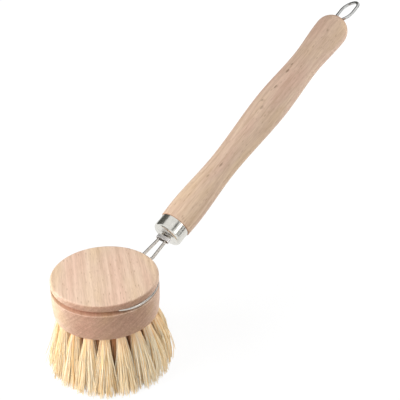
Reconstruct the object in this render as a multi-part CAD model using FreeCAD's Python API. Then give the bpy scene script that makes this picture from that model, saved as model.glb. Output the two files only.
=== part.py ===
import FreeCAD, Part
import math
import os
from FreeCAD import Vector

# Dish brush with a changeable round head. Millimetres, +Z up.
# The origin is on the head's axis, in the plane of the bristle tips; the handle rises towards +X.

# Driving dimensions of the head block
head_diameter = 50.0
head_height = 18.6
top_disc_setback = 0.1
top_disc_thickness = 3.0
head_bottom_taper = 0.5
head_belly_share = 0.67
head_side_swell = 0.12
head_top_rounding = 1.1
head_bottom_rounding = 0.7
groove_lip_rounding = 0.35

# Driving dimensions of the bristles
bristle_length = 28.5
tuft_edge_wood = 1.7
tuft_hole_wall = 2.0
tuft_hole_depth = 9.5
tuft_hole_clearance = 0.05
tuft_straight_root = 0.8
tuft_splay = 4.5
tuft_bow = 1.2
tuft_bow_share = 0.4
tuft_bow_gap = 1.0
tuft_tip_gap = 0.5
tuft_turn = 3.0

# Driving dimensions of the tuft anchors
anchor_bite = 0.5
anchor_height = 1.8
anchor_thickness = 0.4
anchor_cover = 0.9

# Driving dimensions of the wire clip
wire_diameter = 1.6
ring_inset = 0.1
ring_start_angle = 20.0
ring_grip_angle = 94.0
ring_grip_span = 38.0
ring_grip_tightening = 9.0
groove_clearance = 0.45
neck_incline = 22.0
neck_length = 14.1
neck_reach = 4.1
neck_gap_at_head = 5.7
neck_gap_at_ferrule = 3.75
clip_corner_radius = 3.0
clip_rise_radius = 3.0
clip_shank_bend_radius = 8.0
clip_depth = 30.0
clip_bore_extra_depth = 1.0
clip_bore_clearance = 0.1

# Driving dimensions of the collar that slides on the neck
collar_length = 2.0
collar_sheet = 0.5
collar_clearance = 0.25
collar_gap = 1.2
collar_travel_share = 0.43

# Driving dimensions of the ferrule
ferrule_diameter = 15.6
ferrule_length = 7.4
ferrule_sheet = 0.5
ferrule_rounding = 1.3
ferrule_fit = 0.05
ferrule_slot_clearance = 0.3

# Driving dimensions of the handle
handle_incline = 26.25
shoulder_step = 0.5
shoulder_rounding = 0.6
ferrule_to_front_bulge = 9.0
front_bulge_diameter = 17.1
front_bulge_to_waist = 32.5
front_waist_diameter = 14.6
front_waist_to_bulge = 48.0
middle_bulge_diameter = 18.5
middle_bulge_to_waist = 33.5
rear_waist_diameter = 16.1
rear_waist_to_bulge = 28.0
end_bulge_diameter = 19.0

# Driving dimensions of the hanging eye
eye_length = 17.6
eye_width = 13.4
eye_wire_diameter = 1.8
eye_standoff = 0.2
eye_turn = 20.7
eye_shank_diameter = 2.2
eye_shank_depth = 14.0
eye_hole_clearance = 0.05
eye_hole_extra_depth = 0.5

# Levels and radii that follow from the driving dimensions
wire_radius = wire_diameter / 2
head_radius = head_diameter / 2
head_bottom_radius = head_radius - head_bottom_taper
head_bottom = bristle_length
head_top = head_bottom + head_height
groove_width = wire_diameter + 2 * groove_clearance
groove_top = head_top - top_disc_thickness
groove_bottom = groove_top - groove_width
groove_middle = (groove_top + groove_bottom) / 2
ring_radius = head_radius - wire_radius - ring_inset
ring_grip_radius = ring_radius - ring_grip_tightening
ring_end_angle = ring_grip_angle + ring_grip_span
collar_travel = neck_length * collar_travel_share

# The tufts stand in rings around a middle one, each ring's name, its number of tufts and its steps out.
# One step is the same for every ring, and grows from the holes to the tips.
tuft_rings = (("outer", 18, 3), ("middle", 12, 2), ("inner", 6, 1), ("centre", 1, 0))
ring_steps = 3
hole_step = (head_bottom_radius - tuft_edge_wood + tuft_hole_wall / 2) / (ring_steps + 0.5)
splay_step = tuft_splay / ring_steps
bow_step = tuft_bow / ring_steps
tuft_root_radius = (hole_step - tuft_hole_wall) / 2
tuft_bow_radius = (hole_step + splay_step * tuft_bow_share + bow_step - tuft_bow_gap) / 2
tuft_tip_radius = (hole_step + splay_step - tuft_tip_gap) / 2
tuft_hole_radius = tuft_root_radius + tuft_hole_clearance

# Stations along the handle's axis, measured from the ferrule's front face
front_bulge_station = ferrule_length + ferrule_to_front_bulge
front_waist_station = front_bulge_station + front_bulge_to_waist
middle_bulge_station = front_waist_station + front_waist_to_bulge
rear_waist_station = middle_bulge_station + middle_bulge_to_waist
end_bulge_station = rear_waist_station + rear_waist_to_bulge
dome_station = end_bulge_station + end_bulge_diameter / 2
eye_station = dome_station + eye_standoff + eye_length / 2
eye_bend_radius = (eye_width - eye_wire_diameter) / 2
eye_straight = eye_length - eye_width

# Directions along the neck, along the handle's axis and level across both
across = Vector(0, 1, 0)
neck_turn = FreeCAD.Rotation(across, -neck_incline)
handle_turn = FreeCAD.Rotation(across, -handle_incline)
along = handle_turn.multVec(Vector(1, 0, 0))

# The wire's two legs run level for neck_reach outside the ring, then rise to the ferrule
neck_bend = Vector(ring_radius + wire_radius + neck_reach, 0, groove_middle)
ferrule_front = neck_bend + neck_turn.multVec(Vector(neck_length, 0, 0))


def on_axis(station, sideways=0.0):
    """The point at a station on the handle's axis, moved sideways."""
    return ferrule_front + along * station + across * sideways


def placed(shape, turn):
    """A shape built along +X, turned and moved so that its origin is on the ferrule's front face."""
    return shape.transformed(FreeCAD.Placement(ferrule_front, turn).toMatrix(), True)


def line(start, end):
    return Part.LineSegment(start, end).toShape()


def arc(start, middle, end):
    return Part.Arc(start, middle, end).toShape()


def quarter_round(centre, radius, start_angle):
    """A quarter circle in the XZ plane, turning left from start_angle in degrees."""
    points = []
    for turn in (0, 45, 90):
        angle = math.radians(start_angle + turn)
        points.append(centre + Vector(math.cos(angle), 0, math.sin(angle)) * radius)
    return points


def turned(edges, axis):
    """The solid that a closed outline in the XZ plane makes when it turns about an axis."""
    face = Part.Face(Part.Wire(edges))
    return Part.Solid(face.revolve(Vector(0, 0, 0), axis, 360).Shells[0])


def cylinder_along_x(start, end, radius):
    return Part.makeCylinder(radius, end - start, Vector(start, 0, 0), Vector(1, 0, 0))


def oblong_bar(start, end, width, height):
    """A bar along X with a width across Y, a height in Z and round edges."""
    radius = height / 2
    half = width / 2 - radius
    outline = [
        line(Vector(start, -half, -radius), Vector(start, half, -radius)),
        arc(Vector(start, half, -radius), Vector(start, half + radius, 0), Vector(start, half, radius)),
        line(Vector(start, half, radius), Vector(start, -half, radius)),
        arc(Vector(start, -half, radius), Vector(start, -half - radius, 0), Vector(start, -half, -radius)),
    ]
    return Part.Face(Part.Wire(outline)).extrude(Vector(end - start, 0, 0))


def bend(before, corner, after, radius):
    """The start, middle and end of the arc that rounds a corner of a path."""
    back = (before - corner).normalize()
    forth = (after - corner).normalize()
    half_turn = (math.pi - back.getAngle(forth)) / 2
    run = radius * math.tan(half_turn)
    to_centre = (back + forth).normalize()
    nearest = radius / math.cos(half_turn) - radius
    return corner + back * run, corner + to_centre * nearest, corner + forth * run


# Bristle tufts, as plain bowed and flared solids
def tuft_places():
    """Yields each tuft's name, the middle of its hole's mouth, its tip, its way out and its steps out."""
    for ring, count, steps in tuft_rings:
        for index in range(count):
            angle = math.radians(tuft_turn + 360.0 * index / count)
            outward = Vector(math.cos(angle), math.sin(angle), 0)
            mouth = outward * (hole_step * steps) + Vector(0, 0, head_bottom)
            tip = outward * ((hole_step + splay_step) * steps)
            name = "tuft_" + ring if count == 1 else "tuft_%s_%02d" % (ring, index + 1)
            yield name, mouth, tip, outward, steps


def tuft_hole(mouth, tip):
    """The drilled hole, started below the wood so that it opens cleanly."""
    down = (tip - mouth).normalize()
    start = mouth + down * (2 * tuft_root_radius)
    return Part.makeCylinder(tuft_hole_radius, tuft_hole_depth + 2 * tuft_root_radius, start, down * -1)


def tuft_anchor(mouth, tip, outward):
    """The flat anchor across the tuft's fold, with both ends biting into the wood."""
    down = (tip - mouth).normalize()
    width = 2 * (tuft_hole_radius + anchor_bite)
    sideways = Vector(-outward.y, outward.x, 0)
    middle = mouth - down * (tuft_hole_depth - anchor_cover - anchor_height / 2)
    box = Part.makeBox(
        anchor_thickness, width, anchor_height, Vector(-anchor_thickness / 2, -width / 2, -anchor_height / 2)
    )
    turn = FreeCAD.Rotation(Vector(0, 0, 0), sideways, down * -1, "ZYX")
    return box.transformed(FreeCAD.Placement(middle, turn).toMatrix(), True)


def tuft(mouth, tip, outward, steps):
    """A round root in the hole and a bundle that bows outwards below it, cut flat at the tips."""
    down = (tip - mouth).normalize()
    bow = mouth + (tip - mouth) * tuft_bow_share + outward * (bow_step * steps)
    start = mouth + down * tuft_straight_root
    overrun = tip + down * tuft_tip_radius
    sections = []
    for centre, radius in (
        (start, tuft_root_radius),
        (bow, tuft_bow_radius),
        (tip, tuft_tip_radius),
        (overrun, tuft_tip_radius),
    ):
        sections.append(Part.Wire(Part.Circle(centre, down, radius).toShape()))
    bundle = Part.makeLoft(sections, True)
    root_length = tuft_straight_root + tuft_hole_depth - tuft_hole_clearance
    root = Part.makeCylinder(tuft_root_radius, root_length, start, down * -1)
    trim_size = 2 * head_diameter
    trim = Part.makeBox(trim_size, trim_size, trim_size, Vector(-trim_size / 2, -trim_size / 2, -trim_size))
    return root.fuse(bundle).cut(trim).removeSplitter().Solids[0]


# Head block, turned from one disc
def head_block_outline():
    top_radius = head_radius - top_disc_setback
    floor_radius = grip_end_distance() - wire_radius - groove_clearance
    lip = groove_lip_rounding
    edge = head_bottom_rounding
    bottom_edge = quarter_round(Vector(head_bottom_radius - edge, 0, head_bottom + edge), edge, -90)
    lower_lip = quarter_round(Vector(head_radius - lip, 0, groove_bottom - lip), lip, 0)
    upper_lip = quarter_round(Vector(top_radius - lip, 0, groove_top + lip), lip, -90)
    top_edge = quarter_round(
        Vector(top_radius - head_top_rounding, 0, head_top - head_top_rounding), head_top_rounding, 0
    )
    belly = Vector(head_radius, 0, head_bottom + (groove_bottom - head_bottom) * head_belly_share)
    swell = (bottom_edge[2] + belly) / 2 + Vector(head_side_swell, 0, 0)
    floor_low = Vector(floor_radius, 0, groove_bottom)
    floor_high = Vector(floor_radius, 0, groove_top)
    bottom_middle = Vector(0, 0, head_bottom)
    top_middle = Vector(0, 0, head_top)
    return [
        line(bottom_middle, bottom_edge[0]),
        arc(*bottom_edge),
        arc(bottom_edge[2], swell, belly),
        line(belly, lower_lip[0]),
        arc(*lower_lip),
        line(lower_lip[2], floor_low),
        line(floor_low, floor_high),
        line(floor_high, upper_lip[0]),
        arc(*upper_lip),
        line(upper_lip[2], top_edge[0]),
        arc(*top_edge),
        line(top_edge[2], top_middle),
        line(top_middle, bottom_middle),
    ]


def head_block():
    block = turned(head_block_outline(), Vector(0, 0, 1))
    cuts = []
    for name, mouth, tip, outward, steps in tuft_places():
        cuts.append(tuft_hole(mouth, tip))
        cuts.append(tuft_anchor(mouth, tip, outward))
    return block.cut(cuts).Solids[0]


# Wire clip, one spring wire bent to a hairpin, a neck and a ring
def grip_centre(side):
    """The centre of the tighter arc at the end of each arm of the ring."""
    angle = math.radians(ring_grip_angle)
    return Vector(
        math.cos(angle) * ring_grip_tightening, side * math.sin(angle) * ring_grip_tightening, groove_middle
    )


def grip_point(side, angle_degrees):
    angle = math.radians(angle_degrees)
    reach = Vector(math.cos(angle), side * math.sin(angle), 0) * ring_grip_radius
    return grip_centre(side) + reach


def grip_end_distance():
    """How far the wire's end lies from the head's axis."""
    end = grip_point(1, ring_end_angle)
    return math.hypot(end.x, end.y)


def ring_point(side, angle_degrees):
    angle = math.radians(angle_degrees)
    return Vector(math.cos(angle) * ring_radius, side * math.sin(angle) * ring_radius, groove_middle)


def arm_edges(side):
    """The wire from the end of one arm to the start of the hairpin in the handle."""
    start_angle = math.radians(ring_start_angle)
    half_gap = neck_gap_at_head / 2
    ring_start = ring_point(side, ring_start_angle)
    run = (ring_radius * math.sin(start_angle) - half_gap) / math.cos(start_angle)
    corner = ring_start + Vector(math.sin(start_angle), -side * math.cos(start_angle), 0) * run
    rise = neck_bend + across * (side * half_gap)
    entry = on_axis(0, side * neck_gap_at_ferrule / 2)
    shank_end = on_axis(clip_depth - neck_gap_at_ferrule / 2 - wire_radius, side * neck_gap_at_ferrule / 2)
    corner_bend = bend(ring_start, corner, rise, clip_corner_radius)
    rise_bend = bend(corner, rise, entry, clip_rise_radius)
    shank_bend = bend(rise, entry, shank_end, clip_shank_bend_radius)
    grip_middle = grip_point(side, (ring_grip_angle + ring_end_angle) / 2)
    ring_middle = ring_point(side, (ring_grip_angle + ring_start_angle) / 2)
    return [
        arc(grip_point(side, ring_end_angle), grip_middle, ring_point(side, ring_grip_angle)),
        arc(ring_point(side, ring_grip_angle), ring_middle, ring_start),
        line(ring_start, corner_bend[0]),
        arc(*corner_bend),
        line(corner_bend[2], rise_bend[0]),
        arc(*rise_bend),
        line(rise_bend[2], shank_bend[0]),
        arc(*shank_bend),
        line(shank_bend[2], shank_end),
    ]


def wire_clip():
    left = arm_edges(1)
    right = arm_edges(-1)
    half_gap = neck_gap_at_ferrule / 2
    hairpin_station = clip_depth - half_gap - wire_radius
    hairpin = arc(
        on_axis(hairpin_station, half_gap),
        on_axis(hairpin_station + half_gap),
        on_axis(hairpin_station, -half_gap),
    )
    path = Part.Wire(Part.__sortEdges__(left + [hairpin] + right))
    start = grip_point(1, ring_end_angle)
    spoke = (start - grip_centre(1)).normalize()
    heading = spoke.cross(Vector(0, 0, 1))
    section = Part.Wire(Part.Circle(start, heading, wire_radius).toShape())
    pipe = Part.BRepOffsetAPI.MakePipeShell(path)
    pipe.add(section)
    pipe.build()
    pipe.makeSolid()
    wire = Part.Solid(pipe.shape())
    for side in (1, -1):
        wire = wire.fuse(Part.makeSphere(wire_radius, grip_point(side, ring_end_angle)))
    return wire.removeSplitter().Solids[0]


# Collar, a flat band that slides along the two wires
def collar():
    rear = -collar_gap
    front = rear - collar_length
    far_share = (collar_travel - front) / neck_length
    widest_gap = neck_gap_at_ferrule + (neck_gap_at_head - neck_gap_at_ferrule) * far_share
    inner_width = widest_gap + wire_diameter + 2 * collar_clearance
    inner_height = wire_diameter + 2 * collar_clearance
    outer = oblong_bar(front, rear, inner_width + 2 * collar_sheet, inner_height + 2 * collar_sheet)
    inner = oblong_bar(front - collar_sheet, rear + collar_sheet, inner_width, inner_height)
    return placed(outer.cut(inner).Solids[0], neck_turn)


# Ferrule, a drawn cap over the handle's tenon
def ferrule():
    radius = ferrule_diameter / 2
    inner_radius = radius - ferrule_sheet
    inner_rounding = ferrule_rounding - ferrule_sheet
    front = quarter_round(Vector(ferrule_rounding, 0, radius - ferrule_rounding), ferrule_rounding, 90)
    back = quarter_round(Vector(ferrule_rounding, 0, radius - ferrule_rounding), inner_rounding, 90)
    outline = [
        line(Vector(0, 0, 0), front[2]),
        arc(front[2], front[1], front[0]),
        line(front[0], Vector(ferrule_length, 0, radius)),
        line(Vector(ferrule_length, 0, radius), Vector(ferrule_length, 0, inner_radius)),
        line(Vector(ferrule_length, 0, inner_radius), back[0]),
        arc(*back),
        line(back[2], Vector(ferrule_sheet, 0, 0)),
        line(Vector(ferrule_sheet, 0, 0), Vector(0, 0, 0)),
    ]
    cap = turned(outline, Vector(1, 0, 0))
    slot_width = neck_gap_at_ferrule + wire_diameter + 2 * ferrule_slot_clearance
    slot_height = wire_diameter + 2 * ferrule_slot_clearance
    slot = oblong_bar(-ferrule_sheet, 2 * ferrule_sheet, slot_width, slot_height)
    return placed(cap.cut(slot).Solids[0], handle_turn)


# Handle, turned from one stick
def handle():
    tenon_radius = ferrule_diameter / 2 - ferrule_sheet - ferrule_fit
    tenon_start = ferrule_sheet + ferrule_fit
    tenon_rounding = ferrule_rounding - ferrule_sheet
    shoulder_radius = ferrule_diameter / 2 + shoulder_step
    end_radius = end_bulge_diameter / 2
    nose = quarter_round(
        Vector(tenon_start + tenon_rounding, 0, tenon_radius - tenon_rounding), tenon_rounding, 90
    )
    shoulder = quarter_round(
        Vector(ferrule_length + shoulder_rounding, 0, shoulder_radius - shoulder_rounding), shoulder_rounding, 90
    )
    stations = [
        shoulder[0],
        Vector(front_bulge_station, 0, front_bulge_diameter / 2),
        Vector(front_waist_station, 0, front_waist_diameter / 2),
        Vector(middle_bulge_station, 0, middle_bulge_diameter / 2),
        Vector(rear_waist_station, 0, rear_waist_diameter / 2),
        Vector(end_bulge_station, 0, end_radius),
    ]
    level = Vector(1, 0, 0)
    rising = (stations[1] - stations[0]).normalize()
    profile = Part.BSplineCurve()
    profile.interpolate(
        Points=stations,
        Tangents=[rising] + [level] * (len(stations) - 1),
        TangentFlags=[True] * len(stations),
    )
    dome = quarter_round(Vector(end_bulge_station, 0, 0), end_radius, 0)
    outline = [
        line(Vector(tenon_start, 0, 0), nose[2]),
        arc(nose[2], nose[1], nose[0]),
        line(nose[0], Vector(ferrule_length, 0, tenon_radius)),
        line(Vector(ferrule_length, 0, tenon_radius), shoulder[2]),
        arc(shoulder[2], shoulder[1], shoulder[0]),
        profile.toShape(),
        arc(dome[2], dome[1], dome[0]),
        line(dome[0], Vector(tenon_start, 0, 0)),
    ]
    stick = turned(outline, Vector(1, 0, 0))
    bore_radius = (neck_gap_at_ferrule + wire_diameter) / 2 + clip_bore_clearance
    clip_bore = cylinder_along_x(0, clip_depth + clip_bore_extra_depth, bore_radius)
    eye_hole = cylinder_along_x(
        dome_station - eye_shank_depth - eye_hole_extra_depth,
        dome_station + eye_shank_diameter,
        eye_shank_diameter / 2 + eye_hole_clearance,
    )
    return placed(stick.cut([clip_bore, eye_hole]).Solids[0], handle_turn)


# Hanging eye, a long wire loop on a shank
def hanging_eye():
    turn = math.radians(eye_turn)
    side = Vector(0, -math.cos(turn), math.sin(turn)) * eye_bend_radius
    inner_end = Vector(eye_station - eye_straight / 2, 0, 0)
    outer_end = Vector(eye_station + eye_straight / 2, 0, 0)
    reach = Vector(eye_bend_radius, 0, 0)
    path = Part.Wire([
        line(inner_end + side, outer_end + side),
        arc(outer_end + side, outer_end + reach, outer_end - side),
        line(outer_end - side, inner_end - side),
        arc(inner_end - side, inner_end - reach, inner_end + side),
    ])
    section = Part.Wire(Part.Circle(inner_end + side, Vector(1, 0, 0), eye_wire_diameter / 2).toShape())
    pipe = Part.BRepOffsetAPI.MakePipeShell(path)
    pipe.add(section)
    pipe.build()
    pipe.makeSolid()
    loop = Part.Solid(pipe.shape())
    shank = cylinder_along_x(
        dome_station - eye_shank_depth, inner_end.x - eye_bend_radius, eye_shank_diameter / 2
    )
    return placed(loop.fuse(shank).removeSplitter().Solids[0], handle_turn)


def save(name, shape):
    shape.exportStep(os.path.join("parts", name + ".step"))


os.makedirs("parts", exist_ok=True)
save("handle", handle())
save("ferrule", ferrule())
save("wire_clip", wire_clip())
save("clip_collar", collar())
save("hanging_eye", hanging_eye())
save("head_block", head_block())
anchors = []
for tuft_name, tuft_mouth, tuft_tip, tuft_outward, tuft_steps in tuft_places():
    anchor = tuft_anchor(tuft_mouth, tuft_tip, tuft_outward)
    save(tuft_name, tuft(tuft_mouth, tuft_tip, tuft_outward, tuft_steps).cut(anchor).Solids[0])
    anchors.append(anchor)
save("tuft_anchors", Part.makeCompound(anchors))
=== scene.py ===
import math
import random
from collections import namedtuple

import bpy
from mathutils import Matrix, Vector


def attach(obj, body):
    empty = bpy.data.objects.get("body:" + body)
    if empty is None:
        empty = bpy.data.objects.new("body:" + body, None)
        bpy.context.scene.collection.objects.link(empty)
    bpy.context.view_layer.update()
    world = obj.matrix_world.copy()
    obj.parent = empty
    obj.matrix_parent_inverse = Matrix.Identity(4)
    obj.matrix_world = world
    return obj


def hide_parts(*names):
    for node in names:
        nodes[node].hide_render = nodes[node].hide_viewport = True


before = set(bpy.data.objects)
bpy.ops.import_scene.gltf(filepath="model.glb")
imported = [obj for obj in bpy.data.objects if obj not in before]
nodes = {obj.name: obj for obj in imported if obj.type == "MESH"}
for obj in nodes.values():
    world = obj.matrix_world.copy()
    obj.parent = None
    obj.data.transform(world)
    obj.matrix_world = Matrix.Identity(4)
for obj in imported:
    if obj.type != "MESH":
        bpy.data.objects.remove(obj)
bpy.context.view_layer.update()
scene = bpy.context.scene
MM = 0.001
UP = Vector((0.0, 0.0, 1.0))

# Sizes that the scene shares with the CAD part, in millimetres and degrees
HEAD_BOTTOM = 28.5
GROOVE_BOTTOM, GROOVE_TOP = 41.6, 44.1
HOLE_STEP = 6.8
SPLAY_STEP = 1.5
TUFT_TURN = 3.0
HANDLE_INCLINE = math.radians(26.25)
FERRULE_FRONT = Vector((42.0733, 0.0, 48.132))

# The photograph's camera: its place in metres, its lens and sensor in millimetres
VIEW_PLACE = (-0.2005, -0.2253, 0.2500)
VIEW_TURN = math.radians(-50.0)
VIEW_PITCH = math.radians(28.8)
VIEW_LENS = 70.65
VIEW_SENSOR = 36.0
VIEW_FORWARD = Vector((-math.sin(VIEW_TURN), math.cos(VIEW_TURN), 0.0))
VIEW_RIGHT = Vector((math.cos(VIEW_TURN), math.sin(VIEW_TURN), 0.0))

# Node helpers, with the sockets of a mix node that take and give colours
MIX_FACTOR, MIX_FIRST, MIX_SECOND, MIX_RESULT = 0, 6, 7, 2
ZERO = (0.0, 0.0, 0.0)
FADE_IN, FADE_OUT = (0.0, 1.0), (1.0, 0.0)
SMOOTH = "SMOOTHSTEP"
MIDDLE = 0.5


def plain_tree(owner, output_kind):
    owner.use_nodes = True
    tree = owner.node_tree
    tree.nodes.clear()
    return tree, tree.nodes.new(output_kind)


def new_material(name):
    material = bpy.data.materials.new(name)
    tree, output = plain_tree(material, "ShaderNodeOutputMaterial")
    shader = tree.nodes.new("ShaderNodeBsdfPrincipled")
    tree.links.new(shader.outputs[0], output.inputs["Surface"])
    return material, tree, shader


def node(tree, kind, inputs=None, **settings):
    made = tree.nodes.new(kind)
    for key, value in settings.items():
        setattr(made, key, value)
    for key, value in (inputs or {}).items():
        socket = made.inputs[key]
        if isinstance(value, bpy.types.NodeSocket):
            tree.links.new(value, socket)
        else:
            socket.default_value = value
    return made


def object_place(tree):
    return node(tree, "ShaderNodeTexCoord").outputs["Object"]


def math_node(tree, operation, first, second=0.0):
    sockets = {0: first, 1: second}
    return node(tree, "ShaderNodeMath", sockets, operation=operation).outputs[0]


def vector_node(tree, operation, first, second=ZERO, output="Vector"):
    sockets = {0: first, 1: second}
    return node(tree, "ShaderNodeVectorMath", sockets, operation=operation).outputs[output]


def length(tree, vector):
    return vector_node(tree, "LENGTH", vector, output="Value")


def ramp(tree, factor, stops):
    made = node(tree, "ShaderNodeValToRGB", {"Fac": factor})
    elements = made.color_ramp.elements
    while len(elements) < len(stops):
        elements.new(MIDDLE)
    for element, (position, colour) in zip(elements, stops):
        element.position = position
        element.color = (*colour, 1.0)
    return made.outputs["Color"]


def remap(tree, factor, span, result=FADE_IN, shape="LINEAR"):
    """Carries the two ends of span to those of result."""
    sockets = {"Value": factor, "From Min": span[0], "From Max": span[1]}
    sockets.update({"To Min": result[0], "To Max": result[1]})
    return node(tree, "ShaderNodeMapRange", sockets, interpolation_type=shape).outputs["Result"]


def mix_colour(tree, factor, first, second, blend_type="MIX"):
    sockets = {MIX_FACTOR: factor}
    made = node(tree, "ShaderNodeMix", sockets, data_type="RGBA", blend_type=blend_type)
    for index, value in ((MIX_FIRST, first), (MIX_SECOND, second)):
        if isinstance(value, bpy.types.NodeSocket):
            tree.links.new(value, made.inputs[index])
        else:
            made.inputs[index].default_value = (*value, 1.0)
    return made.outputs[MIX_RESULT]


def tint(tree, factor, colour, by):
    return mix_colour(tree, factor, colour, by, "MULTIPLY")


def noise(tree, vector, look, output="Fac"):
    """look is the noise's scale, detail and roughness."""
    scale, detail, roughness = look
    sockets = {"Vector": vector, "Scale": scale, "Detail": detail, "Roughness": roughness}
    return node(tree, "ShaderNodeTexNoise", sockets).outputs[output]


def line_noise(tree, distance, look):
    scale, detail, roughness = look
    sockets = {"W": distance, "Scale": scale, "Detail": detail, "Roughness": roughness}
    return node(tree, "ShaderNodeTexNoise", sockets, noise_dimensions="1D").outputs["Fac"]


def mapped(tree, source, scale, rotation=ZERO):
    sockets = {"Vector": source, "Rotation": rotation, "Scale": scale}
    return node(tree, "ShaderNodeMapping", sockets).outputs["Vector"]


def bump(tree, height, strength, distance):
    sockets = {"Height": height, "Strength": strength, "Distance": distance}
    return node(tree, "ShaderNodeBump", sockets).outputs["Normal"]


def shaded(colour, factors):
    return tuple(c * f for c, f in zip(colour, factors))


# Beech: scales along the grain and across it, in a space of millimetres
PER_METRE = (1000.0, 1000.0, 1000.0)
DRIFT_SCALE = (0.012, 0.05, 0.05)
DRIFT_REACH = (0.0, 2.2, 2.2)
ACROSS_GRAIN = (0.01, 1.0, 1.0)
STREAK_SCALE = (0.02, 0.8, 0.8)
FINE_SCALE = (0.16, 1.9, 1.9)
BLOTCH_SCALE = (0.022, 0.1, 0.1)
RAY_SCALE = (0.26, 1.0, 1.0)
LEVEL = (1.0, 1.0, 0.0)

# Beech: scale, detail and roughness of its noises
DRIFT_NOISE = (1.0, 2.0, 0.5)
RING_NOISE = (0.55, 3.0, 0.62)
STREAK_NOISE = (1.0, 4.0, 0.65)
FINE_NOISE = (1.0, 3.0, 0.7)
BLOTCH_NOISE = (1.0, 2.0, 0.5)
END_LINE_NOISE = (0.9, 2.0, 0.6)
END_PATCH_NOISE = (0.16, 2.0, 0.5)
END_DOT_NOISE = (1.1, 4.0, 0.75)

# Beech: where each feature fades in, and how strong it is
FINE_SHARE = 0.38
TONE_CONTRAST = 0.10
ROSE_SPAN = (0.48, 0.66)
STRAW_SPAN = (0.5, 0.32)
RAY_SPAN = (0.14, 0.34)
RAY_PICK_SPAN, RAY_STRENGTH = (0.25, 1.0), (0.0, 0.7)
END_SPAN = (0.25, 0.9)
END_LINE_SPAN = (0.46, 0.6)
END_PATCH_SPAN, END_PATCH_STRENGTH = (0.4, 0.6), (0.15, 0.6)
END_DOT_SPAN, END_DOT_STRENGTH = (0.46, 0.66), (0.0, 0.6)
GROOVE_FADE_DEEP, GROOVE_FADE_EDGE = 0.6, 0.2
MARK_SPAN, MARK_RAGGED = (0.75, 1.5), 0.9
WOOD_GLOSS_SPAN, WOOD_ROUGHNESS = (0.3, 0.7), (0.5, 0.66)
WOOD_SPECULAR = 0.28
FINE_HEIGHT = 0.6
WOOD_RELIEF, WOOD_RELIEF_DEPTH = 0.35, 0.00015

# Beech: tints, which multiply the colour, and shades, which multiply the darkest tone
ROSE_TINT = (1.0, 0.94, 0.955)
STRAW_TINT = (1.0, 1.0, 0.91)
# End grain's own darkening, made stronger so that it also paints shade on the head's side
END_GRAIN_AND_SHADE_TINT = (0.65, 0.54, 0.495)
# Painted shade in the turned groove, where the disc above shades it
GROOVE_PAINTED_SHADE = (0.86, 0.74, 0.68)
RAY_SHADE = (0.80, 0.74, 0.70)
END_SHADE = (0.50, 0.40, 0.36)
MARK_SHADE = (0.36, 0.30, 0.25)


def pith_distance(tree, grain, pith):
    """Distance from the middle of the growth rings, which wander a little along the grain."""
    drift = noise(tree, mapped(tree, grain, DRIFT_SCALE), DRIFT_NOISE, "Color")
    wandering = vector_node(tree, "MULTIPLY", drift, DRIFT_REACH)
    ringed = vector_node(tree, "ADD", grain, wandering)
    from_pith = vector_node(tree, "SUBTRACT", ringed, pith)
    return length(tree, vector_node(tree, "MULTIPLY", from_pith, ACROSS_GRAIN))


def ray_flecks(tree, grain):
    """Short dark flecks along the grain, of different strength."""
    sockets = {"Vector": mapped(tree, grain, RAY_SCALE), "Scale": 1.0, "Randomness": 1.0}
    cells = node(tree, "ShaderNodeTexVoronoi", sockets).outputs
    mask = remap(tree, cells["Distance"], RAY_SPAN, FADE_OUT, SMOOTH)
    pick = node(tree, "ShaderNodeSeparateColor", {"Color": cells["Color"]}).outputs["Red"]
    strength = remap(tree, pick, RAY_PICK_SPAN, RAY_STRENGTH)
    return math_node(tree, "MULTIPLY", mask, strength)


def end_grain_pattern(tree, grain, distance):
    """Growth lines in patches, and pores, as they show on wood cut across the grain."""
    lines = line_noise(tree, distance, END_LINE_NOISE)
    lines = remap(tree, lines, END_LINE_SPAN, shape=SMOOTH)
    patches = noise(tree, grain, END_PATCH_NOISE)
    patches = remap(tree, patches, END_PATCH_SPAN, END_PATCH_STRENGTH)
    dots = remap(tree, noise(tree, grain, END_DOT_NOISE), END_DOT_SPAN, END_DOT_STRENGTH)
    return math_node(tree, "MAXIMUM", math_node(tree, "MULTIPLY", lines, patches), dots)


def groove_shade_mask(tree, grain, radius, low, high):
    """Mask of the painted shade: 1 inside a groove turned into the wood, and 0 outside it."""
    level = length(tree, vector_node(tree, "MULTIPLY", grain, LEVEL))
    height = node(tree, "ShaderNodeSeparateXYZ", {"Vector": grain}).outputs["Z"]
    inside = remap(tree, level, (radius - GROOVE_FADE_DEEP, radius), FADE_OUT)
    over = remap(tree, height, (low - GROOVE_FADE_EDGE, low))
    under = remap(tree, height, (high, high + GROOVE_FADE_EDGE), FADE_OUT)
    return math_node(tree, "MULTIPLY", math_node(tree, "MULTIPLY", inside, over), under)


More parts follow.
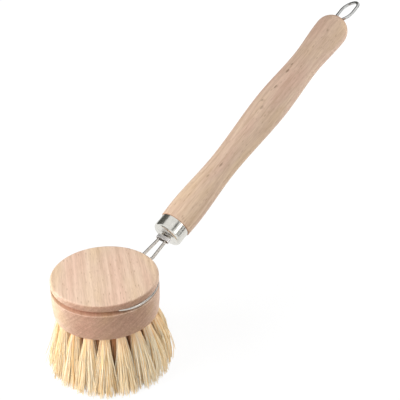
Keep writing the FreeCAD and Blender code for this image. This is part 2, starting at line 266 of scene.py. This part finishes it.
def beech(name, turn, grain_way, pith, tones, band_share, marks, groove_shade=None):
    """Beech with growth bands, streaks, ray flecks, darker end grain and single dark marks;
    the end grain's darkening is partly painted shade.

    turn carries the grain to X in a space of millimetres, where pith is the middle of the
    growth rings. groove_shade is the radius, the lower and the upper edge of a groove darkened
    by painted shade.
    """
    pale, mid, dark = tones
    material, tree, shader = new_material(name)
    coordinates = node(tree, "ShaderNodeTexCoord").outputs
    grain = mapped(tree, coordinates["Object"], PER_METRE, turn)
    distance = pith_distance(tree, grain, pith)
    rings = line_noise(tree, distance, RING_NOISE)
    streaks = noise(tree, mapped(tree, grain, STREAK_SCALE), STREAK_NOISE)
    fine = noise(tree, mapped(tree, grain, FINE_SCALE), FINE_NOISE)
    streak_share = 1.0 - FINE_SHARE - band_share
    tone = math_node(tree, "MULTIPLY", rings, band_share)
    tone = math_node(tree, "ADD", tone, math_node(tree, "MULTIPLY", streaks, streak_share))
    tone = math_node(tree, "ADD", tone, math_node(tree, "MULTIPLY", fine, FINE_SHARE))
    stops = (MIDDLE - TONE_CONTRAST, dark), (MIDDLE, mid), (MIDDLE + TONE_CONTRAST, pale)
    colour = ramp(tree, tone, stops)

    blotch = noise(tree, mapped(tree, grain, BLOTCH_SCALE), BLOTCH_NOISE)
    colour = tint(tree, remap(tree, blotch, ROSE_SPAN), colour, ROSE_TINT)
    colour = tint(tree, remap(tree, blotch, STRAW_SPAN), colour, STRAW_TINT)
    rays = ray_flecks(tree, grain)
    colour = mix_colour(tree, rays, colour, shaded(dark, RAY_SHADE))

    facing = vector_node(tree, "DOT_PRODUCT", coordinates["Normal"], grain_way, "Value")
    end = remap(tree, math_node(tree, "ABSOLUTE", facing), END_SPAN, shape=SMOOTH)
    # End grain is darker, and this tint is strong enough to also paint the shade on the head's
    # side
    colour = tint(tree, end, colour, END_GRAIN_AND_SHADE_TINT)
    end_mask = math_node(tree, "MULTIPLY", end_grain_pattern(tree, grain, distance), end)
    colour = mix_colour(tree, end_mask, colour, shaded(dark, END_SHADE))
    if groove_shade:
        # Painted shade: darkens the wood inside the groove, where the head's top disc shades it
        colour = tint(tree, groove_shade_mask(tree, grain, *groove_shade), colour, GROOVE_PAINTED_SHADE)

    for place, size, strength in marks:
        offset = vector_node(tree, "SUBTRACT", grain, place)
        spread = length(tree, vector_node(tree, "DIVIDE", offset, size))
        ragged = math_node(tree, "MULTIPLY", fine, MARK_RAGGED)
        spread = math_node(tree, "ADD", spread, ragged)
        mask = remap(tree, spread, MARK_SPAN, (strength, 0.0), SMOOTH)
        colour = mix_colour(tree, mask, colour, shaded(dark, MARK_SHADE))

    roughness = remap(tree, streaks, WOOD_GLOSS_SPAN, WOOD_ROUGHNESS)
    height = math_node(tree, "SUBTRACT", math_node(tree, "MULTIPLY", fine, FINE_HEIGHT), rays)
    relief = bump(tree, height, WOOD_RELIEF, WOOD_RELIEF_DEPTH)
    tree.links.new(colour, shader.inputs["Base Color"])
    tree.links.new(roughness, shader.inputs["Roughness"])
    tree.links.new(relief, shader.inputs["Normal"])
    shader.inputs["Specular IOR Level"].default_value = WOOD_SPECULAR
    return material


# Steel: scales per metre, with its drawing lines along the handle's axis, around it or neither
ALONG_AXIS = (60.0, 2500.0, 2500.0)
AROUND_AXIS = (2500.0, 60.0, 60.0)
NO_LINES = (300.0, 300.0, 300.0)
LINE_NOISE = (1.0, 3.0, 0.6)
SCUFF_NOISE = (420.0, 3.0, 0.6)
WAVE_NOISE = (160.0, 1.0, 0.5)
SCUFF_TINT_SPAN, SCUFF_TINT = (0.3, 0.7), (0.86, 1.06)
SCUFF_GLOSS_SPAN = (0.3, 0.75)
LEAST_ROUGH, MOST_ROUGH = 0.75, 1.5
LINE_HEIGHT = 0.06
STEEL_RELIEF, STEEL_RELIEF_DEPTH = 0.5, 0.0002


def steel(name, colour, roughness, turn, line_scale, dent):
    """Bright steel with drawing lines, soft scuffs and a surface made uneven by dent."""
    material, tree, shader = new_material(name)
    place = object_place(tree)
    lines = noise(tree, mapped(tree, place, line_scale, turn), LINE_NOISE)
    scuffs = noise(tree, place, SCUFF_NOISE)
    waves = noise(tree, place, WAVE_NOISE)
    colour = tint(tree, 1.0, colour, remap(tree, scuffs, SCUFF_TINT_SPAN, SCUFF_TINT))
    worn = (roughness * LEAST_ROUGH, roughness * MOST_ROUGH)
    lines = math_node(tree, "MULTIPLY", lines, LINE_HEIGHT)
    height = math_node(tree, "ADD", lines, math_node(tree, "MULTIPLY", waves, dent))
    relief = bump(tree, height, STEEL_RELIEF, STEEL_RELIEF_DEPTH)
    tree.links.new(colour, shader.inputs["Base Color"])
    tree.links.new(remap(tree, scuffs, SCUFF_GLOSS_SPAN, worn), shader.inputs["Roughness"])
    tree.links.new(relief, shader.inputs["Normal"])
    shader.inputs["Metallic"].default_value = 1.0
    return material


# Plant fibre, with painted warm shade near the wood and deep in the brush, and different from
# fibre to fibre
FIBRE_TONES = (
    (0.0, (0.90, 0.60, 0.25)),
    (0.3, (0.975, 0.71, 0.385)),
    (0.6, (0.99, 0.83, 0.57)),
    (1.0, (0.995, 0.94, 0.80)),
)
PAINTED_SHADE_COLOUR = (0.98, 0.46, 0.19)
FLECK_NOISE = (900.0, 2.0, 0.5)
FLECK_TONE_SPAN, FLECK_TONE = (0.2, 0.8), (-0.08, 0.08)
FLECK_GLOSS_SPAN, FIBRE_ROUGHNESS = (0.3, 0.7), (0.42, 0.62)
FIBRE_SPECULAR = 0.12


def plant_fibre():
    material, tree, shader = new_material("plant_fibre")
    painted_shade = node(tree, "ShaderNodeAttribute", attribute_name="painted_shade").outputs["Fac"]
    tone = node(tree, "ShaderNodeAttribute", attribute_name="tone").outputs["Fac"]
    fleck = noise(tree, object_place(tree), FLECK_NOISE)
    tone = math_node(tree, "ADD", tone, remap(tree, fleck, FLECK_TONE_SPAN, FLECK_TONE))
    # Mixes in the warm painted shade, which stands for light scattered into the shaded fibres
    # near the wood and deep in the brush
    colour = mix_colour(tree, painted_shade, ramp(tree, tone, FIBRE_TONES), PAINTED_SHADE_COLOUR)
    roughness = remap(tree, fleck, FLECK_GLOSS_SPAN, FIBRE_ROUGHNESS)
    tree.links.new(colour, shader.inputs["Base Color"])
    tree.links.new(roughness, shader.inputs["Roughness"])
    shader.inputs["Specular IOR Level"].default_value = FIBRE_SPECULAR
    return material


# Rings of tufts, each so many hole steps out, and how its fibres start, fan out and lean
Ring = namedtuple("Ring", "name count steps fibres root_radius fan lean")
RINGS = (
    Ring("outer", 18, 3, 270, 1.9, 1.15, 0.0),
    Ring("middle", 12, 2, 150, 2.2, 0.65, 2.8),
    Ring("inner", 6, 1, 90, 2.2, 0.8, 1.8),
    Ring("centre", 1, 0, 90, 2.2, 1.0, 0.0),
)
OUTER_STEPS = 3

# The mesh of a fibre, in millimetres, and the share of its length that is in its hole
FIBRE_SEED = 7
FIBRE_RINGS = 8
FIBRE_SIDES = 4
FIBRE_RADIUS = (0.11, 0.17)
TIP_TAPER = 0.7
ROOT_SUNK = 0.07

# How the fibres of a tuft spread, gather in clumps, stray, curl and end, in millimetres
TIP_OUT, TIP_OUT_SCATTER = 4.8, 0.45
TIP_SIDE, TIP_SIDE_SCATTER = 6.6, 0.6
CLUMPS = 9
CLUMP_PULL = 0.45
STRAY_SHARE = 0.05
STRAY_OUT, STRAY_SIDE = (0.0, 2.0), 2.0
FAR_STRAY_SHARE = 0.008
FAR_STRAY_OUT = (0.5, 2.5)
CURL_OUT, CURL_SIDE = 0.35, 0.4
CURL_STEP = 0.12
WAVE_OUT, WAVE_SIDE = 0.18, 0.22
END_GAP, END_SCATTER = 0.1, 0.35
SHORT_SHARE = 0.12
SHORT_BY = (0.4, 2.4)

# Sides of the brush on which the tufts stand out further, in their middles and at their tips
BULGE_WAY, BULGE = math.radians(-45.0), 1.9
TIP_WAY, TIP_REACH = math.radians(-105.0), 2.0

# Fibre colours: tone goes from dark to pale, and painted_shade is the share of the warm painted
# shade
TONE_MEAN, TONE_SPREAD = 0.61, 0.19
TUFT_TONE_SPREAD = 0.05
DARK_SHARE, DARK_TONE = 0.06, 0.3
SHADE_CURVE = 0.7
# Painted shade: all down the inner rings, and on the outer ring near the wood and on the tuft's
# inner side
INNER_PAINTED_SHADE, INNER_SHADE_REACH = 0.9, 1.3
ROOT_PAINTED_SHADE, ROOT_SHADE_REACH = 0.26, 0.35
DEEP_PAINTED_SHADE, DEEP_SHADE_FADE = 0.6, 0.4


def tuft_places():
    for ring in RINGS:
        for index in range(ring.count):
            angle = math.radians(TUFT_TURN + 360.0 * index / ring.count)
            name = "tuft_" + ring.name
            if ring.count > 1:
                name += "_%02d" % (index + 1)
            yield name, ring, angle


def in_disc(rng):
    spread = math.sqrt(rng.random())
    around = rng.random() * 2 * math.pi
    return spread * math.cos(around), spread * math.sin(around)


def towards(way, angle, steps):
    """1 for an outer tuft that stands that way, less for others, and 0 on the far side."""
    return max(0.0, math.cos(angle - way)) ** 2 * steps / OUTER_STEPS


def fibre_line(rng, ring, angle, clumps):
    """Points down one fibre, from inside its hole to its tip, and how deep in its tuft it is."""
    outward = Vector((math.cos(angle), math.sin(angle), 0.0))
    sideways = Vector((-math.sin(angle), math.cos(angle), 0.0))
    root_out, root_side = in_disc(rng)
    clump = min(clumps, key=lambda c: (c[0] - root_out) ** 2 + (c[1] - root_side) ** 2)
    pull = CLUMP_PULL * rng.random()
    tip_out = TIP_OUT * (root_out + (clump[0] - root_out) * pull)
    tip_out += rng.gauss(0.0, TIP_OUT_SCATTER)
    tip_out += TIP_REACH * towards(TIP_WAY, angle, ring.steps) + ring.lean
    tip_side = TIP_SIDE * (root_side + (clump[1] - root_side) * pull)
    tip_side += rng.gauss(0.0, TIP_SIDE_SCATTER)
    stray = rng.random()
    if stray < STRAY_SHARE:
        tip_out += rng.uniform(*STRAY_OUT)
        tip_side += rng.gauss(0.0, STRAY_SIDE)
    if stray < FAR_STRAY_SHARE:
        tip_out += rng.uniform(*FAR_STRAY_OUT)
    curl_out = rng.gauss(0.0, CURL_OUT) + CURL_STEP * ring.steps
    curl_out += BULGE * towards(BULGE_WAY, angle, ring.steps)
    curl_side = rng.gauss(0.0, CURL_SIDE)
    wave_out, wave_side = rng.gauss(0.0, WAVE_OUT), rng.gauss(0.0, WAVE_SIDE)
    end = END_GAP + abs(rng.gauss(0.0, END_SCATTER))
    if rng.random() < SHORT_SHARE:
        end += rng.uniform(*SHORT_BY)
    points = []
    for index in range(FIBRE_RINGS + 1):
        down = -ROOT_SUNK + (1 + ROOT_SUNK) * index / FIBRE_RINGS
        clear = max(down, 0.0)
        fan = clear**ring.fan
        root = ring.root_radius * (1 - fan)
        arch = math.sin(math.pi * clear)
        wave = math.sin(2 * math.pi * clear)
        out = (HOLE_STEP + SPLAY_STEP * down) * ring.steps
        out += root * root_out + tip_out * fan + curl_out * arch + wave_out * wave
        side = root * root_side + tip_side * fan + curl_side * arch + wave_side * wave
        height = HEAD_BOTTOM - (HEAD_BOTTOM - end) * down
        points.append(outward * out + sideways * side + UP * height)
    return points, max(0.0, -root_out)


def painted_shade_share(steps, deep, down):
    """How much of the warm painted shade a fibre takes at a share of the way down it."""
    if steps < OUTER_STEPS:
        return INNER_PAINTED_SHADE * max(0.0, 1.0 - down / INNER_SHADE_REACH) ** SHADE_CURVE
    shade_near_wood = ROOT_PAINTED_SHADE * max(0.0, 1.0 - down / ROOT_SHADE_REACH) ** SHADE_CURVE
    return max(shade_near_wood, DEEP_PAINTED_SHADE * deep * (1.0 - DEEP_SHADE_FADE * down))


def tube_corners(line, radius, twist):
    """Corners of a tube round the line, in metres, that narrows at the tip."""
    corners = []
    for index, point in enumerate(line):
        before, after = line[max(index - 1, 0)], line[min(index + 1, FIBRE_RINGS)]
        heading = (after - before).normalized()
        u = heading.orthogonal().normalized()
        v = heading.cross(u)
        size = radius * (TIP_TAPER if index == FIBRE_RINGS else 1.0)
        for corner in range(FIBRE_SIDES):
            turn = twist + 2 * math.pi * corner / FIBRE_SIDES
            corners.append((point + (u * math.cos(turn) + v * math.sin(turn)) * size) * MM)
    return corners


def tube_faces(first):
    """Sides and both ends of a tube whose corners are numbered from first."""
    faces = []
    for index in range(FIBRE_RINGS):
        start = first + index * FIBRE_SIDES
        for corner in range(FIBRE_SIDES):
            a = start + corner
            b = start + (corner + 1) % FIBRE_SIDES
            faces.append((a, b, b + FIBRE_SIDES, a + FIBRE_SIDES))
    last = first + FIBRE_RINGS * FIBRE_SIDES
    faces.append(tuple(range(last, last + FIBRE_SIDES)))
    faces.append(tuple(range(first + FIBRE_SIDES - 1, first - 1, -1)))
    return faces


def tuft_mesh(name, rng, ring, angle, material):
    vertices, faces, shade_shares, tones = [], [], [], []
    clumps = [in_disc(rng) for _ in range(CLUMPS)]
    tuft_tone = rng.gauss(0.0, TUFT_TONE_SPREAD)
    for _ in range(ring.fibres):
        line, deep = fibre_line(rng, ring, angle, clumps)
        radius = rng.uniform(*FIBRE_RADIUS)
        tone = min(1.0, max(0.0, rng.gauss(TONE_MEAN, TONE_SPREAD) + tuft_tone))
        if rng.random() < DARK_SHARE:
            tone *= DARK_TONE
        twist = rng.random() * math.pi
        faces += tube_faces(len(vertices))
        vertices += tube_corners(line, radius, twist)
        for index in range(FIBRE_RINGS + 1):
            # Each corner takes its share of the warm painted shade
            shade_shares += [painted_shade_share(ring.steps, deep, index / FIBRE_RINGS)] * FIBRE_SIDES
            tones += [tone] * FIBRE_SIDES
    mesh = bpy.data.meshes.new(name + "_fibres")
    mesh.from_pydata([tuple(v) for v in vertices], [], faces)
    for attribute, values in (("painted_shade", shade_shares), ("tone", tones)):
        mesh.attributes.new(attribute, "FLOAT", "POINT").data.foreach_set("value", values)
    mesh.materials.append(material)
    mesh.update()
    piece = bpy.data.objects.new(name + "_fibres", mesh)
    scene.collection.objects.link(piece)
    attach(piece, "head")
    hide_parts(name)


def dress(node_name, material):
    mesh = nodes[node_name].data
    mesh.materials.clear()
    mesh.materials.append(material)


# The handle's grain runs along its axis, which starts here, at this height, in the grain's space
AXIS_TURN = (0.0, HANDLE_INCLINE, 0.0)
AXIS_COS, AXIS_SIN = math.cos(HANDLE_INCLINE), math.sin(HANDLE_INCLINE)
AXIS_WAY = (AXIS_COS, 0.0, AXIS_SIN)
AXIS_START = FERRULE_FRONT.x * AXIS_COS + FERRULE_FRONT.z * AXIS_SIN
AXIS_HEIGHT = FERRULE_FRONT.z * AXIS_COS - FERRULE_FRONT.x * AXIS_SIN
MARK_DEPTH = 1.5


def handle_mark(along, around, radius, long, wide, strength):
    """A dark mark, along from the ferrule's front and around from the top to the near side."""
    turn = math.radians(around)
    side, height = -radius * math.sin(turn), radius * math.cos(turn)
    place = (AXIS_START + along, side, AXIS_HEIGHT + height)
    return place, (long, wide, wide * MARK_DEPTH), strength


# Tones of the wood from pale to dark, middles of its growth rings, and the share of its bands
HANDLE_TONES = (0.765, 0.575, 0.44), (0.685, 0.497, 0.376), (0.595, 0.415, 0.30)
HANDLE_PITH = (0.0, 40.0, -20.0)
HANDLE_BANDS = 0.14
HANDLE_MARKS = [
    handle_mark(114.8, 3.5, 8.6, 2.2, 0.9, 0.75),
    handle_mark(120.3, -2.2, 8.3, 1.5, 0.7, 0.6),
    handle_mark(101.5, 8.4, 9.2, 1.9, 0.7, 0.6),
    handle_mark(90.4, 0.5, 9.1, 1.3, 0.8, 0.45),
    handle_mark(85.9, 16.2, 9.0, 1.9, 0.7, 0.45),
    handle_mark(45.5, 30.8, 7.3, 1.9, 0.7, 0.5),
    handle_mark(36.2, 17.5, 7.7, 1.3, 0.6, 0.35),
    handle_mark(150.8, 27.4, 8.9, 1.4, 0.6, 0.4),
]
HEAD_TONES = (0.80, 0.605, 0.465), (0.72, 0.53, 0.395), (0.62, 0.44, 0.32)
HEAD_PITH = (0.0, -40.0, -12.0)
HEAD_BANDS = 0.2
# Turned so that the darker end grain, partly painted shade, falls on the head's side that lies
# in shade
HEAD_GRAIN = math.radians(51.0)
HEAD_TURN = (0.0, 0.0, -HEAD_GRAIN)
HEAD_WAY = (math.cos(HEAD_GRAIN), math.sin(HEAD_GRAIN), 0.0)
# Where the groove's painted shade lies, as radius, lower and upper edge
GROOVE_SHADE_RADIUS = 24.7
HEAD_GROOVE_SHADE = (GROOVE_SHADE_RADIUS, GROOVE_BOTTOM, GROOVE_TOP)

# Steel pieces: material, colour, roughness, turn and scale of the drawing lines, unevenness
STEEL_PIECES = {
    "ferrule": ("ferrule_steel", (0.75, 0.735, 0.685), 0.21, AXIS_TURN, AROUND_AXIS, 0.5),
    "wire_clip": ("wire_steel", (0.6, 0.555, 0.505), 0.22, AXIS_TURN, ALONG_AXIS, 0.1),
    "clip_collar": ("collar_steel", (0.86, 0.83, 0.82), 0.36, AXIS_TURN, ALONG_AXIS, 0.2),
    "hanging_eye": ("eye_steel", (0.62, 0.62, 0.61), 0.12, AXIS_TURN, ALONG_AXIS, 0.4),
    "tuft_anchors": ("anchor_steel", (0.55, 0.55, 0.55), 0.35, ZERO, NO_LINES, 0.1),
}
handle_wood = beech(
    "handle_beech", AXIS_TURN, AXIS_WAY, HANDLE_PITH, HANDLE_TONES, HANDLE_BANDS, HANDLE_MARKS
)
head_wood = beech(
    "head_beech", HEAD_TURN, HEAD_WAY, HEAD_PITH, HEAD_TONES, HEAD_BANDS, [], HEAD_GROOVE_SHADE
)
dress("handle", handle_wood)
dress("head_block", head_wood)
for steel_node, steel_look in STEEL_PIECES.items():
    dress(steel_node, steel(*steel_look))

fibre = plant_fibre()
fibre_rng = random.Random(FIBRE_SEED)
for tuft_name, tuft_ring, tuft_angle in tuft_places():
    tuft_mesh(tuft_name, fibre_rng, tuft_ring, tuft_angle, fibre)

# Stage, in metres: floor and world are white where they are seen, and the floor keeps a shadow
SQUARE = ((-1, -1), (1, -1), (1, 1), (-1, 1))
WHITE = (1.0, 1.0, 1.0, 1.0)
WORLD_LIGHT = 0.25
FLOOR_REACH = 6.0
FLOOR_GREY = (0.8, 0.8, 0.8, 1.0)
FLOOR_SEEN_GREY = (0.12, 0.12, 0.12, 1.0)
SHADOW_MIDDLE = (0.02, 0.0, 0.0)
SHADOW_SPAN, SHADOW_GLOW = (0.05, 0.4), (0.9, 1.0)


def stage_plane(name, corners, material):
    mesh = bpy.data.meshes.new(name)
    mesh.from_pydata([tuple(corner) for corner in corners], [], [(0, 1, 2, 3)])
    mesh.materials.append(material)
    plane = bpy.data.objects.new(name, mesh)
    scene.collection.objects.link(plane)
    return plane


def glowing(tree, kind, colour, strength):
    return node(tree, kind, {"Color": colour, "Strength": strength}).outputs[0]


def matte(tree, colour):
    return node(tree, "ShaderNodeBsdfDiffuse", {"Color": colour}).outputs[0]


def link_seen(tree, output, lighting, seen):
    """Rays that see the surface meet one shader, and rays that only light things the other."""
    path = node(tree, "ShaderNodeLightPath").outputs
    sees = math_node(tree, "MAXIMUM", path["Is Camera Ray"], path["Is Glossy Ray"])
    sees = math_node(tree, "MAXIMUM", sees, path["Is Transmission Ray"])
    mixed = node(tree, "ShaderNodeMixShader", {0: sees, 1: lighting, 2: seen}).outputs[0]
    tree.links.new(mixed, output.inputs["Surface"])


def floor_look():
    material = bpy.data.materials.new("floor")
    tree, output = plain_tree(material, "ShaderNodeOutputMaterial")
    away = length(tree, vector_node(tree, "SUBTRACT", object_place(tree), SHADOW_MIDDLE))
    level = remap(tree, away, SHADOW_SPAN, SHADOW_GLOW, SMOOTH)
    glow = glowing(tree, "ShaderNodeEmission", WHITE, level)
    lit = matte(tree, FLOOR_SEEN_GREY)
    pale = node(tree, "ShaderNodeAddShader", {0: lit, 1: glow}).outputs[0]
    link_seen(tree, output, matte(tree, FLOOR_GREY), pale)
    return material


def world_look():
    world = bpy.data.worlds.new("studio")
    tree, output = plain_tree(world, "ShaderNodeOutputWorld")
    soft = glowing(tree, "ShaderNodeBackground", WHITE, WORLD_LIGHT)
    white = glowing(tree, "ShaderNodeBackground", WHITE, 1.0)
    link_seen(tree, output, soft, white)
    return world


floor_corners = [(a * FLOOR_REACH, b * FLOOR_REACH, 0) for a, b in SQUARE]
stage_plane("floor", floor_corners, floor_look())
scene.world = world_look()

# What the lamps and flags are placed around, in metres, and how wide a lamp shines, in degrees
STAGE_MIDDLE = Vector((0.05, 0.0, 0.05))
HEAD_MIDDLE = Vector((0.0, 0.0, 0.03))
BRISTLE_MIDDLE = Vector((0.0, 0.0, 0.015))
HANDLE_MIDDLE = Vector((0.16, 0.0, 0.1))
EYE_MIDDLE = Vector((0.2, 0.0, 0.126))
WIDE, NARROW = 180.0, 24.0

# Lamps: target, turn, rise, distance, size, power in watts, seen in gloss, spread
LAMPS = {
    "front_left": (HEAD_MIDDLE, -112.0, 30.0, 0.33, (0.25, 0.25), 1.36, False, WIDE),
    "overhead": (HANDLE_MIDDLE, -90.0, 60.0, 0.28, (0.25, 0.25), 0.12, False, WIDE),
    "right": (STAGE_MIDDLE, 66.0, 25.0, 0.6, (0.4, 0.4), 2.0, False, WIDE),
    "front_right": (STAGE_MIDDLE, 114.0, 20.0, 0.8, (0.3, 0.3), 0.5, False, WIDE),
    "front": (BRISTLE_MIDDLE, 180.0, 32.0, 0.5, (0.12, 0.12), 0.012, False, NARROW),
    "strip": (STAGE_MIDDLE, 116.0, 22.0, 0.8, (0.3, 0.13), 0.35, True, WIDE),
}

# Flags, which are dark cards: middle, turn, rise, half their turn and rise, distance
FLAG_GREY = (0.12, 0.12, 0.11, 1.0)
FLAGS = {
    "flag_left": (STAGE_MIDDLE, -28.0, 26.0, 38.0, 28.0, 1.2),
    "flag_front": (STAGE_MIDDLE, 126.0, 44.0, 24.0, 7.0, 1.2),
    "flag_low": (STAGE_MIDDLE, 111.0, 7.0, 20.0, 5.0, 1.2),
    "flag_floor": (STAGE_MIDDLE, 93.0, -12.0, 22.0, 7.5, 0.2),
    "flag_right": (STAGE_MIDDLE, 45.0, 7.0, 36.0, 11.0, 1.2),
    "flag_back_left": (STAGE_MIDDLE, -125.0, 12.0, 28.0, 13.0, 1.2),
    "flag_eye": (EYE_MIDDLE, -36.0, 44.0, 56.0, 40.0, 0.06),
}


def direction(turn, rise):
    """turn goes from straight away from the camera to its right, and rise up from the level."""
    turn, rise = math.radians(turn), math.radians(rise)
    level = VIEW_FORWARD * math.cos(turn) + VIEW_RIGHT * math.sin(turn)
    return level * math.cos(rise) + UP * math.sin(rise)


def area_light(name, target, turn, rise, distance, size, power, in_gloss, spread):
    data = bpy.data.lights.new(name, "AREA")
    data.shape = "RECTANGLE"
    data.size, data.size_y = size
    data.energy = power
    data.spread = math.radians(spread)
    way = direction(turn, rise)
    lamp = bpy.data.objects.new(name, data)
    lamp.location = target + way * distance
    lamp.rotation_euler = (-way).to_track_quat("-Z", "Y").to_euler()
    lamp.visible_camera = False
    lamp.visible_glossy = in_gloss
    scene.collection.objects.link(lamp)


def flag_look():
    material = bpy.data.materials.new("flag")
    tree, output = plain_tree(material, "ShaderNodeOutputMaterial")
    grey = glowing(tree, "ShaderNodeEmission", FLAG_GREY, 1.0)
    tree.links.new(grey, output.inputs["Surface"])
    return material


def flag(name, middle, turn, rise, half_turn, half_rise, distance, material):
    """A card that only the gloss of the steel and wood sees."""
    corners = []
    for a, b in SQUARE:
        way = direction(turn + a * half_turn, rise + b * half_rise)
        corners.append(middle + way * distance)
    card = stage_plane(name, corners, material)
    card.visible_camera = False
    card.visible_diffuse = False
    card.visible_shadow = False
    card.visible_transmission = False


for lamp_name, lamp_values in LAMPS.items():
    area_light(lamp_name, *lamp_values)
dark_card = flag_look()
for flag_name, flag_values in FLAGS.items():
    flag(flag_name, *flag_values, dark_card)

# Camera at the photograph's viewing angle
camera_data = bpy.data.cameras.new("camera")
camera_data.sensor_width = VIEW_SENSOR
camera_data.lens = VIEW_LENS
camera = bpy.data.objects.new("camera", camera_data)
camera.location = VIEW_PLACE
camera.rotation_euler = (math.pi / 2 - VIEW_PITCH, 0.0, VIEW_TURN)
scene.collection.objects.link(camera)
scene.camera = camera

scene.view_settings.view_transform = "Standard"
